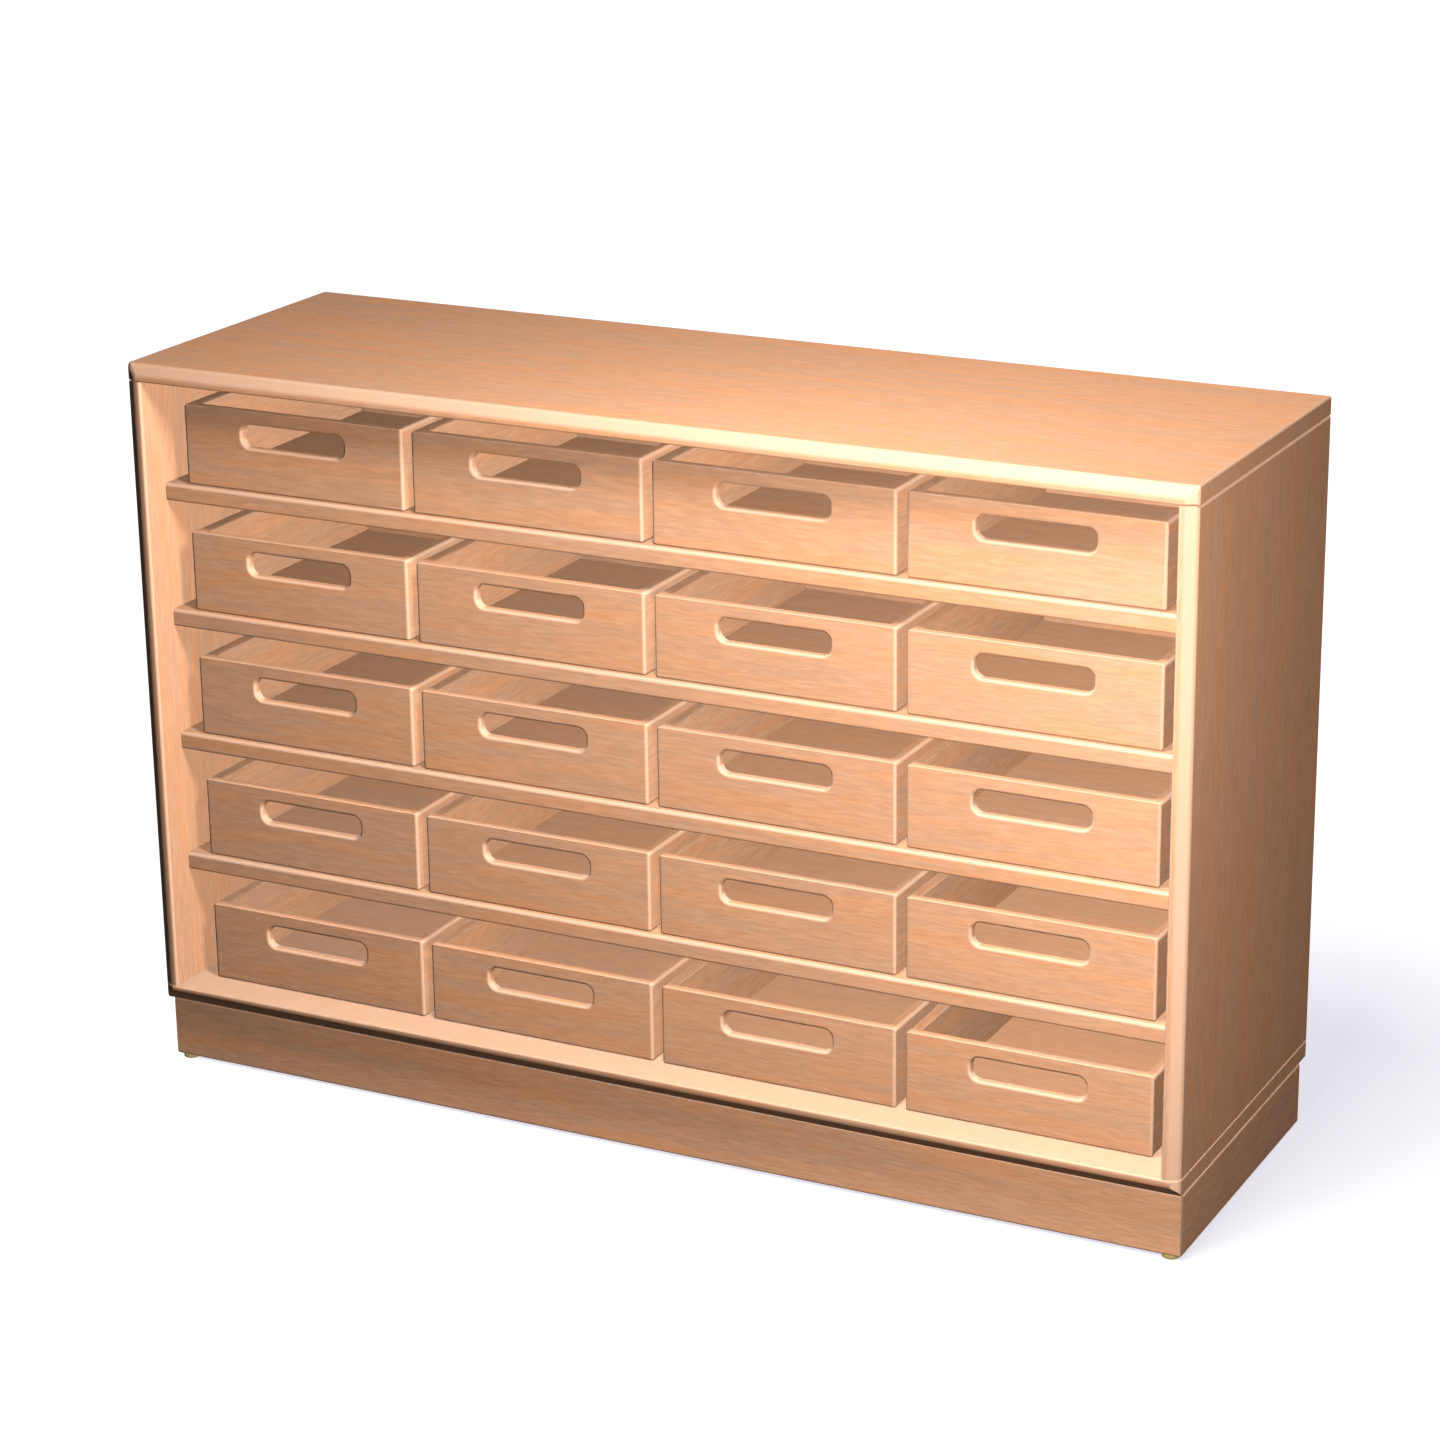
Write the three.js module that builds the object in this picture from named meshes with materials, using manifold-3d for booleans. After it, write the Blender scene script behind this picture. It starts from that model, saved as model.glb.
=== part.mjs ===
// A classroom tray storage unit: a beech case on a plinth, with fixed shelves and loose wooden trays.
// Millimetres, +Z up, the front faces -Y, and the origin is on the floor under the middle of the case.
import * as THREE from "three";
import { mergeVertices } from "three/addons/utils/BufferGeometryUtils.js";
import Module from "manifold-3d";

const wasm = await Module();
wasm.setup();

// Case
const WIDTH = 1200;
const DEPTH = 390;
const HEIGHT = 800;
const BOARD = 19; // thickness of the case boards and of the plinth rails
const FRONT_ROUND = 7; // radius of the outer front edges of the case
const ARRIS = 2.5; // width of the broken edge on every other board edge
const GLUE_GAP = 0.2; // between boards that are fixed to each other

// Rows and shelves
const ROWS = 5;
const COLUMNS = 4;
const SHELF_SETBACK = 35; // from the front of the case
const BOTTOM_ROW_EXTRA = 6; // the bottom row is this much taller than a middle row
const TOP_ROW_LESS = 4; // the top row is this much lower than a middle row
const HOUSING_DEPTH = 6; // of the housings in the sides that hold the shelf ends
const HOUSING_SHOULDER = 15; // the housings stop this far behind the shelf's front edge

// Back panel, let into a rebate at the rear and flush with it
const BACK_THICKNESS = 6;
const BACK_LAP = 9; // of the panel on the boards around it

// Dowels from the sides into the top and the bottom panel
const DOWEL_DIAMETER = 8;
const DOWEL_REACH = 12;
const DOWEL_CLEARANCE = 0.3;
const DOWEL_INSET = 45; // of the first and the last dowel, from the front and the rear
const DOWELS_PER_END = 3;
const DOWEL_SIDES = 12;

// Plinth
const PLINTH_HEIGHT = 71;
const PLINTH_SETBACK = 16.5; // at the front and at the rear
const PLINTH_END_SETBACK = 1; // at the left and at the right
const CROSS_RAILS = 2;

// Glides under the plinth's corners
const GLIDE_HEIGHT = 4;
const GLIDE_DIAMETER = 19;
const GLIDE_CHAMFER = 1;
const GLIDE_MITRE_OFFSET = 4.5; // the glide is this much further from the plinth's end than from its face
const GLIDE_PIN_DIAMETER = 4;
const GLIDE_PIN_LENGTH = 14;
const GLIDE_PIN_CLEARANCE = 0.3;
const GLIDE_SIDES = 16;

// Trays
const TRAY_GAP = 11; // between neighbouring trays
const TRAY_END_GAP = 24.5; // between the outer trays and the sides
const TRAY_HEADROOM = 30; // over the trays of the top row
const TRAY_SETBACK = 6.5; // from the shelf's front edge
const TRAY_REAR_GAP = 2; // in front of the back panel
const TRAY_LIFT = 0.3; // running clearance over the shelf
const TRAY_WALL = 12;
const TRAY_ARRIS = 2;
const BASE_THICKNESS = 4;
const BASE_RAISE = 2; // from the tray's lower edge to the base panel
const BASE_GROOVE = 5; // in the tray's walls, for the base panel's edge
const BASE_CLEARANCE = 0.3; // of the base panel in its groove

// Grip slot in the tray's front
const SLOT_WIDTH = 126;
const SLOT_HEIGHT = 25;
const SLOT_DROP = 15; // from the tray's rim
const SLOT_CORNER = 10;

const ARC_STEP = 2.5; // radius per facet of a rounded edge
const CUT_PAST = 1; // a cutting block runs this far past the face that it opens
const QUARTER_TURN = Math.PI / 2;

// Levels and faces that several pieces share
const LEFT = -WIDTH / 2;
const RIGHT = WIDTH / 2;
const FRONT = -DEPTH / 2;
const REAR = DEPTH / 2;
const PLINTH_TOP = GLIDE_HEIGHT + PLINTH_HEIGHT;
const FLOOR_LEVEL = PLINTH_TOP + BOARD; // upper face of the bottom panel
const CEILING_LEVEL = HEIGHT - BOARD; // lower face of the top panel
const INNER_LEFT = LEFT + BOARD;
const INNER_RIGHT = RIGHT - BOARD;
const BACK_FRONT_FACE = REAR - BACK_THICKNESS;
const SHELF_FRONT = FRONT + SHELF_SETBACK;
const HOUSING_FRONT = SHELF_FRONT + HOUSING_SHOULDER;

const SHELVES = ROWS - 1;
const CLEAR_HEIGHT = CEILING_LEVEL - FLOOR_LEVEL - SHELVES * BOARD;
const MIDDLE_ROW = (CLEAR_HEIGHT - BOTTOM_ROW_EXTRA + TOP_ROW_LESS) / ROWS;
const TOP_ROW = MIDDLE_ROW - TOP_ROW_LESS;
const BOTTOM_ROW = MIDDLE_ROW + BOTTOM_ROW_EXTRA;

const TRAY_FRONT = SHELF_FRONT + TRAY_SETBACK;
const TRAY_DEPTH = BACK_FRONT_FACE - TRAY_REAR_GAP - TRAY_FRONT;
const TRAY_HEIGHT = TOP_ROW - TRAY_HEADROOM;
const TRAY_RUN = INNER_RIGHT - INNER_LEFT - 2 * TRAY_END_GAP;
const TRAY_WIDTH = (TRAY_RUN - (COLUMNS - 1) * TRAY_GAP) / COLUMNS;

const BEECH = new THREE.MeshStandardMaterial({ color: 0xd9a878, roughness: 0.5, metalness: 0 });
const BEECH_PLY = new THREE.MeshStandardMaterial({ color: 0xdcb58a, roughness: 0.6, metalness: 0 });
const NYLON = new THREE.MeshStandardMaterial({ color: 0xb79d55, roughness: 0.55, metalness: 0 });

// Upper face of shelf 1 (the top one) to shelf 4, and then of the bottom panel.
function supportLevel(row) {
  if (row === ROWS) return FLOOR_LEVEL;
  const shelvesBelow = SHELVES - row;
  return FLOOR_LEVEL + BOTTOM_ROW + BOARD + shelvesBelow * (MIDDLE_ROW + BOARD);
}

function toSolid(geometry) {
  const bare = geometry.clone();
  bare.deleteAttribute("normal");
  bare.deleteAttribute("uv");
  const merged = mergeVertices(bare);
  const vertProperties = merged.attributes.position.array;
  const triVerts = new Uint32Array(merged.index.array);
  return new wasm.Manifold(new wasm.Mesh({ numProp: 3, vertProperties, triVerts }));
}

function toGeometry(solid) {
  const { vertProperties, triVerts } = solid.getMesh();
  const geometry = new THREE.BufferGeometry();
  geometry.setAttribute("position", new THREE.BufferAttribute(vertProperties, 3));
  geometry.setIndex(new THREE.BufferAttribute(triVerts, 1));
  geometry.computeVertexNormals();
  return geometry;
}

function block(low, high) {
  const size = high.map((value, i) => value - low[i]);
  const middle = high.map((value, i) => (value + low[i]) / 2);
  return toSolid(new THREE.BoxGeometry(...size).translate(...middle));
}

function upright(radius, low, high, x, y, sides) {
  const cylinder = new THREE.CylinderGeometry(radius, radius, high - low, sides);
  return toSolid(cylinder.rotateX(QUARTER_TURN).translate(x, y, (low + high) / 2));
}

// A rectangle with a radius for each corner, counter-clockwise from the corner where both are lowest.
function roundedOutline([u0, v0], [u1, v1], radii) {
  const corners = [
    [u0, v0, 1, 1],
    [u1, v0, -1, 1],
    [u1, v1, -1, -1],
    [u0, v1, 1, -1],
  ];
  const points = corners.flatMap(([u, v, inU, inV], i) => {
    const radius = radii[i];
    const steps = radius > 0 ? Math.max(1, Math.round(radius / ARC_STEP)) : 0;
    return Array.from({ length: steps + 1 }, (_, k) => {
      const angle = (i + 2 + (steps ? k / steps : 0)) * QUARTER_TURN;
      const around = new THREE.Vector2(Math.cos(angle), Math.sin(angle)).multiplyScalar(radius);
      return around.add(new THREE.Vector2(u + inU * radius, v + inV * radius));
    });
  });
  return new THREE.Shape(points);
}

// Places of an outline's own two axes and of its extrusion, for a prism along each axis.
const X_AXIS = new THREE.Vector3(1, 0, 0);
const Y_AXIS = new THREE.Vector3(0, 1, 0);
const Z_AXIS = new THREE.Vector3(0, 0, 1);
const ALONG_X = [Y_AXIS, Z_AXIS, X_AXIS];
const ALONG_Y = [Z_AXIS, X_AXIS, Y_AXIS];
const ALONG_Z = [X_AXIS, Y_AXIS, Z_AXIS];

function prism(outline, axes, from, to) {
  const extruded = new THREE.ExtrudeGeometry(outline, { depth: to - from, bevelEnabled: false });
  extruded.translate(0, 0, from);
  return toSolid(extruded.applyMatrix4(new THREE.Matrix4().makeBasis(...axes)));
}

// A board with rounded edges. Each list gives the radii of the four edges along one axis:
// alongX from front-bottom by back-bottom to front-top, alongY from bottom-left by top-left to
// bottom-right, alongZ from left-front by right-front to left-back.
function board(low, high, { alongX, alongY, alongZ }) {
  const [x0, y0, z0] = low;
  const [x1, y1, z1] = high;
  const across = prism(roundedOutline([y0, z0], [y1, z1], alongX), ALONG_X, x0, x1);
  const through = prism(roundedOutline([z0, x0], [z1, x1], alongY), ALONG_Y, y0, y1);
  const up = prism(roundedOutline([x0, y0], [x1, y1], alongZ), ALONG_Z, z0, z1);
  return across.intersect(through).intersect(up);
}

const evenEdges = (radius) => [radius, radius, radius, radius];

function piece(name, solid, material) {
  const mesh = new THREE.Mesh(toGeometry(solid), material);
  mesh.name = name;
  return mesh;
}

function dowelPlaces() {
  const first = FRONT + DOWEL_INSET;
  const step = (REAR - DOWEL_INSET - first) / (DOWELS_PER_END - 1);
  return Array.from({ length: DOWELS_PER_END }, (_, i) => first + i * step);
}

const DOWEL_LINES = [LEFT + BOARD / 2, RIGHT - BOARD / 2];

function backRebate(lowX, highX, lowZ, highZ) {
  return block([lowX, BACK_FRONT_FACE - GLUE_GAP, lowZ], [highX, REAR + CUT_PAST, highZ]);
}

// The top or the bottom panel: edges is the list of radii along X, and the dowels enter at face.
function cover(lowZ, highZ, edges, face, inward) {
  let solid = board([LEFT, FRONT, lowZ], [RIGHT, REAR, highZ], {
    alongX: edges,
    alongY: evenEdges(ARRIS),
    alongZ: [FRONT_ROUND, FRONT_ROUND, ARRIS, ARRIS],
  });
  const rebateEnd = INNER_RIGHT + BACK_LAP;
  const rebateZ = [face - inward * BACK_LAP, face + inward * CUT_PAST].sort((a, b) => a - b);
  solid = solid.subtract(backRebate(-rebateEnd, rebateEnd, ...rebateZ));
  const hole = DOWEL_DIAMETER / 2 + DOWEL_CLEARANCE;
  const holeEnd = face - inward * (DOWEL_REACH + DOWEL_CLEARANCE);
  const holeZ = [holeEnd, face + inward * CUT_PAST].sort((a, b) => a - b);
  for (const x of DOWEL_LINES)
    for (const y of dowelPlaces())
      solid = solid.subtract(upright(hole, ...holeZ, x, y, DOWEL_SIDES));
  return solid;
}

// A side panel. sign is -1 for the left side and 1 for the right side.
function side(sign) {
  const outer = sign * RIGHT;
  const inner = sign * INNER_RIGHT;
  const lowX = Math.min(outer, inner);
  const highX = Math.max(outer, inner);
  const lowZ = FLOOR_LEVEL + GLUE_GAP;
  const highZ = CEILING_LEVEL - GLUE_GAP;
  const outerLeft = sign < 0;
  let solid = board([lowX, FRONT, lowZ], [highX, REAR, highZ], {
    alongX: [ARRIS, 0, 0, ARRIS],
    alongY: outerLeft ? [ARRIS, ARRIS, 0, 0] : [0, 0, ARRIS, ARRIS],
    alongZ: outerLeft ? [FRONT_ROUND, ARRIS, ARRIS, ARRIS] : [ARRIS, FRONT_ROUND, ARRIS, ARRIS],
  });
  const mouth = inner - sign * CUT_PAST;
  const span = (depth) => [mouth, inner + sign * depth].sort((a, b) => a - b);
  for (let row = 1; row < ROWS; row++) {
    const top = supportLevel(row) + GLUE_GAP;
    const bottom = supportLevel(row) - BOARD - GLUE_GAP;
    const [x0, x1] = span(HOUSING_DEPTH);
    const housing = block([x0, HOUSING_FRONT - GLUE_GAP, bottom], [x1, BACK_FRONT_FACE, top]);
    solid = solid.subtract(housing);
  }
  solid = solid.subtract(backRebate(...span(BACK_LAP), lowZ - CUT_PAST, highZ + CUT_PAST));
  const dowelLow = FLOOR_LEVEL - DOWEL_REACH;
  const dowelHigh = CEILING_LEVEL + DOWEL_REACH;
  for (const y of dowelPlaces()) {
    const x = sign * DOWEL_LINES[1];
    const rootLow = lowZ + DOWEL_REACH;
    const rootHigh = highZ - DOWEL_REACH;
    solid = solid.add(upright(DOWEL_DIAMETER / 2, dowelLow, rootLow, x, y, DOWEL_SIDES));
    solid = solid.add(upright(DOWEL_DIAMETER / 2, rootHigh, dowelHigh, x, y, DOWEL_SIDES));
  }
  return solid;
}

function shelf(row) {
  const top = supportLevel(row);
  const bottom = top - BOARD;
  const rear = BACK_FRONT_FACE - GLUE_GAP;
  const left = INNER_LEFT + GLUE_GAP;
  const right = INNER_RIGHT - GLUE_GAP;
  const reach = HOUSING_DEPTH - 2 * GLUE_GAP;
  const body = board([left, SHELF_FRONT, bottom], [right, rear, top], {
    alongX: [ARRIS, 0, 0, ARRIS],
    alongY: evenEdges(0),
    alongZ: evenEdges(0),
  });
  const tongues = block([left - reach, HOUSING_FRONT, bottom], [right + reach, rear, top]);
  return body.add(tongues);
}

function backPanel() {
  const reach = BACK_LAP - GLUE_GAP;
  const low = [INNER_LEFT - reach, BACK_FRONT_FACE, FLOOR_LEVEL - reach];
  return block(low, [INNER_RIGHT + reach, REAR, CEILING_LEVEL + reach]);
}

function buildCase() {
  const group = new THREE.Group();
  const topEdges = [ARRIS, ARRIS, ARRIS, FRONT_ROUND];
  const bottomEdges = [FRONT_ROUND, ARRIS, ARRIS, ARRIS];
  const top = cover(CEILING_LEVEL, HEIGHT, topEdges, CEILING_LEVEL, -1);
  const bottom = cover(PLINTH_TOP, FLOOR_LEVEL, bottomEdges, FLOOR_LEVEL, 1);
  group.add(piece("top_panel", top, BEECH));
  group.add(piece("bottom_panel", bottom, BEECH));
  group.add(piece("left_side", side(-1), BEECH));
  group.add(piece("right_side", side(1), BEECH));
  group.add(piece("back_panel", backPanel(), BEECH_PLY));
  for (let row = 1; row < ROWS; row++) group.add(piece(`shelf_${row}`, shelf(row), BEECH));
  return group;
}

// Outer faces of the plinth, and the middles of its glides.
const PLINTH_END = RIGHT - PLINTH_END_SETBACK;
const PLINTH_FACE = REAR - PLINTH_SETBACK;
const PLINTH_LOW = GLIDE_HEIGHT + GLUE_GAP;
const GLIDE_X = PLINTH_END - BOARD / 2 - GLIDE_MITRE_OFFSET;
const GLIDE_Y = PLINTH_FACE - BOARD / 2;

// A rail seen from above: its mitred ends lie on the diagonals of the plinth's corners.
function railOutline(place) {
  const gap = GLUE_GAP;
  const inEnd = PLINTH_END - BOARD;
  const inFace = PLINTH_FACE - BOARD;
  const long = [
    [-PLINTH_END + gap, -PLINTH_FACE],
    [PLINTH_END - gap, -PLINTH_FACE],
    [inEnd - gap, -inFace],
    [-inEnd + gap, -inFace],
  ];
  const short = [
    [PLINTH_END, -PLINTH_FACE + gap],
    [PLINTH_END, PLINTH_FACE - gap],
    [inEnd, inFace - gap],
    [inEnd, -inFace + gap],
  ];
  const corners = place === "front" || place === "back" ? long : short;
  const turned = place === "back" || place === "left" ? -1 : 1;
  return new THREE.Shape(corners.map(([x, y]) => new THREE.Vector2(turned * x, turned * y)));
}

function buildPlinth() {
  const group = new THREE.Group();
  const high = PLINTH_TOP - GLUE_GAP;
  const low = [-PLINTH_END, -PLINTH_FACE, PLINTH_LOW];
  const outside = board(low, [PLINTH_END, PLINTH_FACE, high], {
    alongX: evenEdges(ARRIS),
    alongY: evenEdges(ARRIS),
    alongZ: evenEdges(ARRIS),
  });
  const hole = GLIDE_PIN_DIAMETER / 2 + GLIDE_PIN_CLEARANCE;
  const holeTop = GLIDE_HEIGHT + GLIDE_PIN_LENGTH + GLIDE_PIN_CLEARANCE;
  for (const place of ["front", "back", "left", "right"]) {
    let rail = prism(railOutline(place), ALONG_Z, PLINTH_LOW, high).intersect(outside);
    for (const x of [-GLIDE_X, GLIDE_X])
      for (const y of [-GLIDE_Y, GLIDE_Y])
        rail = rail.subtract(upright(hole, 0, holeTop, x, y, GLIDE_SIDES));
    group.add(piece(`plinth_${place}`, rail, BEECH));
  }
  const bay = (2 * (PLINTH_END - BOARD) - CROSS_RAILS * BOARD) / (CROSS_RAILS + 1);
  const reach = PLINTH_FACE - BOARD - GLUE_GAP;
  for (let i = 1; i <= CROSS_RAILS; i++) {
    const left = -(PLINTH_END - BOARD) + i * bay + (i - 1) * BOARD;
    const rail = block([left, -reach, PLINTH_LOW], [left + BOARD, reach, high]);
    group.add(piece(`plinth_cross_${i}`, rail, BEECH));
  }
  return group;
}

function buildGlides() {
  const group = new THREE.Group();
  const radius = GLIDE_DIAMETER / 2;
  const pin = GLIDE_PIN_DIAMETER / 2;
  const pinTop = GLIDE_HEIGHT + GLIDE_PIN_LENGTH;
  const profile = [
    [0, 0],
    [radius - GLIDE_CHAMFER, 0],
    [radius, GLIDE_CHAMFER],
    [radius, GLIDE_HEIGHT],
    [pin, GLIDE_HEIGHT],
    [pin, pinTop],
    [0, pinTop],
  ].map(([x, y]) => new THREE.Vector2(x, y));
  const glide = toSolid(new THREE.LatheGeometry(profile, GLIDE_SIDES).rotateX(QUARTER_TURN));
  const corners = { front_left: [-1, -1], front_right: [1, -1], back_left: [-1, 1], back_right: [1, 1] };
  for (const [corner, [signX, signY]] of Object.entries(corners)) {
    const mesh = piece(`glide_${corner}`, glide, NYLON);
    mesh.position.set(signX * GLIDE_X, signY * GLIDE_Y, 0);
    group.add(mesh);
  }
  return group;
}

// The four glued walls of a tray, with its lower left front corner at the origin.
function trayBox() {
  const outside = board([0, 0, 0], [TRAY_WIDTH, TRAY_DEPTH, TRAY_HEIGHT], {
    alongX: evenEdges(TRAY_ARRIS),
    alongY: evenEdges(TRAY_ARRIS),
    alongZ: evenEdges(TRAY_ARRIS),
  });
  const inside = [TRAY_WIDTH - TRAY_WALL, TRAY_DEPTH - TRAY_WALL];
  const well = block([TRAY_WALL, TRAY_WALL, -CUT_PAST], [...inside, TRAY_HEIGHT + CUT_PAST]);
  const shoulder = TRAY_WALL - BASE_GROOVE;
  const grooveTop = BASE_RAISE + BASE_THICKNESS + BASE_CLEARANCE;
  const groove = block(
    [shoulder, shoulder, BASE_RAISE],
    [TRAY_WIDTH - shoulder, TRAY_DEPTH - shoulder, grooveTop],
  );
  const slotTop = TRAY_HEIGHT - SLOT_DROP;
  const slotLeft = (TRAY_WIDTH - SLOT_WIDTH) / 2;
  const slotOutline = roundedOutline(
    [slotTop - SLOT_HEIGHT, slotLeft],
    [slotTop, slotLeft + SLOT_WIDTH],
    evenEdges(SLOT_CORNER),
  );
  const slot = prism(slotOutline, ALONG_Y, -CUT_PAST, TRAY_WALL + CUT_PAST);
  return outside.subtract(well).subtract(groove).subtract(slot);
}

function trayBase() {
  const edge = TRAY_WALL - BASE_GROOVE + BASE_CLEARANCE;
  const low = BASE_RAISE + BASE_CLEARANCE / 2;
  return block([edge, edge, low], [TRAY_WIDTH - edge, TRAY_DEPTH - edge, low + BASE_THICKNESS]);
}

function buildTrays() {
  const group = new THREE.Group();
  const box = trayBox();
  const base = trayBase();
  for (let row = 1; row <= ROWS; row++)
    for (let column = 1; column <= COLUMNS; column++) {
      const tray = new THREE.Group();
      const left = INNER_LEFT + TRAY_END_GAP + (column - 1) * (TRAY_WIDTH + TRAY_GAP);
      tray.position.set(left, TRAY_FRONT, supportLevel(row) + TRAY_LIFT);
      tray.add(piece(`tray_r${row}c${column}_box`, box, BEECH));
      tray.add(piece(`tray_r${row}c${column}_base`, base, BEECH_PLY));
      group.add(tray);
    }
  return group;
}

const unit = new THREE.Group();
unit.add(buildCase(), buildPlinth(), buildGlides(), buildTrays());

export default unit;
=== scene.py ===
"""The looks of a beech classroom tray unit: a case on a plinth, with shelves and loose trays.

Everything is in metres in the frame's own axes: +X is right, the open front faces -Y, +Z is up.
"""

import logging
import math
from collections.abc import Callable, Iterator
from dataclasses import dataclass, field
from enum import Enum
from functools import partial
from itertools import count, pairwise

import bmesh
import bpy
import numpy as np
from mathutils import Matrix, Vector


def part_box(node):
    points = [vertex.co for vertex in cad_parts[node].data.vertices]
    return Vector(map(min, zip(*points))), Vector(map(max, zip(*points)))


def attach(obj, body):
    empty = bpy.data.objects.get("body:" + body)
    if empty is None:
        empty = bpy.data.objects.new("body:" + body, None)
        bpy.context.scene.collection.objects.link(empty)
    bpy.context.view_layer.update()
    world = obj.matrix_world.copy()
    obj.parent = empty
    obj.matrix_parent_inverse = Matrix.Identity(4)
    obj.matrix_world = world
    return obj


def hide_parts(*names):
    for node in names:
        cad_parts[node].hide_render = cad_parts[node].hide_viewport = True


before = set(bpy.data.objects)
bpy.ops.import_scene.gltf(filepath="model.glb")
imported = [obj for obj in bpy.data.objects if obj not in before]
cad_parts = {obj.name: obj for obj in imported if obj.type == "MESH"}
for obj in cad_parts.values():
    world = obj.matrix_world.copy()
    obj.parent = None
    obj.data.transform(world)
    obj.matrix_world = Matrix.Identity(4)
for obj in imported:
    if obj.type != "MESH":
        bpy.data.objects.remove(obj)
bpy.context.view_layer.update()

LOG = logging.getLogger("tray_unit")
MM = 0.001
GRAIN = "grain"
# The attribute that holds each corner's share of the painted edge highlight
EDGE_HIGHLIGHT = "edge"
CASE_BODY = "case"
CASE_SLOT = "case_beech"
SEEN_RAYS = ("Is Camera Ray", "Is Glossy Ray", "Is Transmission Ray")
NOISE_MIDDLE = 0.5

Colour = tuple[float, float, float]
Point = tuple[float, float, float]
PlanPoint = tuple[float, float]
Operand = "Wire | float | int | str | tuple[float, ...]"


class Grain(Enum):
    """The way a board's grain runs: which axis is along it, across it and through the board."""

    ALONG_X = (0, 1, 2)
    ALONG_Y = (1, 0, 2)
    ALONG_Z = (2, 0, 1)


class Cover(Enum):
    """The case's covers, as the way along Z from their outer to their inner face."""

    TOP = -1
    BOTTOM = 1


class Side(Enum):
    """The case's sides, as the sign of their X."""

    LEFT = -1
    RIGHT = 1


class Corner(Enum):
    """The plinth's corners, as the signs of their X and Y."""

    FRONT_LEFT = (-1, -1)
    FRONT_RIGHT = (1, -1)
    BACK_LEFT = (-1, 1)
    BACK_RIGHT = (1, 1)


class Rail(Enum):
    """The plinth's outer rails, as quarter turns from the front one."""

    FRONT = 0
    RIGHT = 1
    BACK = 2
    LEFT = 3


class Falloff(Enum):
    """How a lamp's light weakens with distance, as outputs of the Light Falloff node."""

    NATURAL = "Quadratic"
    SLOW = "Linear"


class Reach(Enum):
    """What a lamp lights, as the state of its link to the floor."""

    FLOOR_ALONE = "INCLUDE"
    ALL_BUT_FLOOR = "EXCLUDE"


# Node trees


class Wire:
    """A node's output, on which arithmetic adds the nodes that work it out."""

    def __init__(self, bench: "Bench", socket: bpy.types.NodeSocket) -> None:
        """Keep the socket, and the bench that the next nodes go on."""
        self.bench = bench
        self.socket = socket

    def _work(self, operation: str, first: Operand, second: Operand) -> "Wire":
        """Add the Math node, or after a vector the Vector Math node, of one operator.

        Args:
            operation: the node's operation.
            first: what stands before the operator.
            second: what stands after it.

        Returns:
            The node's output.
        """
        if self.socket.type != "VECTOR":
            return self.bench.node("ShaderNodeMath", {"operation": operation}, {0: first, 1: second})
        pair = [(each,) * 3 if isinstance(each, (int, float)) else each for each in (first, second)]
        return self.bench.node("ShaderNodeVectorMath", {"operation": operation}, dict(enumerate(pair)))

    def __add__(self, other: Operand) -> "Wire":
        """Add a value to this one."""
        return self._work("ADD", self, other)

    def __radd__(self, other: Operand) -> "Wire":
        """Add this one to a value."""
        return self._work("ADD", other, self)

    def __sub__(self, other: Operand) -> "Wire":
        """Take a value from this one."""
        return self._work("SUBTRACT", self, other)

    def __rsub__(self, other: Operand) -> "Wire":
        """Take this one from a value."""
        return self._work("SUBTRACT", other, self)

    def __mul__(self, other: Operand) -> "Wire":
        """Multiply this one by a value."""
        return self._work("MULTIPLY", self, other)

    def __rmul__(self, other: Operand) -> "Wire":
        """Multiply a value by this one."""
        return self._work("MULTIPLY", other, self)


class Bench:
    """One node tree, and the way nodes are put on it."""

    def __init__(self, tree: bpy.types.NodeTree) -> None:
        """Clear the tree."""
        self.tree = tree
        tree.nodes.clear()

    def node(
        self,
        kind: str,
        settings: dict[str, object] | None = None,
        inputs: dict[str | int, Operand] | None = None,
        output: str | int = 0,
    ) -> Wire:
        """Add a node.

        Args:
            kind: the node's type.
            settings: its properties, which are set first.
            inputs: values or links, by the name, identifier or number of their socket.
            output: the name, identifier or number of the output that is wanted.

        Returns:
            The wanted output, or for a node without one a wire that holds nothing.
        """
        made = self.tree.nodes.new(kind)
        for name, value in (settings or {}).items():
            setattr(made, name, value)
        for name, value in (inputs or {}).items():
            socket = self._socket(made.inputs, name)
            if isinstance(value, Wire):
                self.tree.links.new(value.socket, socket)
            else:
                socket.default_value = value
        return Wire(self, self._socket(made.outputs, output) if made.outputs else None)

    def blend(self, factor: Operand, first: Operand, second: Operand) -> Wire:
        """Mix two colours.

        Args:
            factor: the second colour's share.
            first: the first colour.
            second: the second colour.

        Returns:
            The mixed colour.
        """
        colours = [(*each, 1.0) if isinstance(each, tuple) else each for each in (first, second)]
        inputs = {"Factor_Float": factor, "A_Color": colours[0], "B_Color": colours[1]}
        return self.node("ShaderNodeMix", {"data_type": "RGBA"}, inputs, "Result_Color")

    def ease(self, value: Wire, low: float, high: float) -> Wire:
        """Bring a value smoothly from 0 at low to 1 at high."""
        inputs = {"Value": value, "From Min": low, "From Max": high}
        return self.node("ShaderNodeMapRange", {"interpolation_type": "SMOOTHSTEP"}, inputs)

    @classmethod
    def of(cls, owner: bpy.types.Material | bpy.types.World | bpy.types.Light) -> "Bench":
        """Start the node tree of a material, a world or a lamp."""
        owner.use_nodes = True
        return cls(owner.node_tree)

    @staticmethod
    def _socket(sockets: bpy.types.bpy_prop_collection, key: str | int) -> bpy.types.NodeSocket:
        """Find a socket.

        Args:
            sockets: a node's inputs or outputs.
            key: the socket's number, identifier or name.

        Returns:
            The socket.
        """
        if isinstance(key, int):
            return sockets[key]
        return next((each for each in sockets if each.identifier == key), None) or sockets[key]


# Finishes


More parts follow.
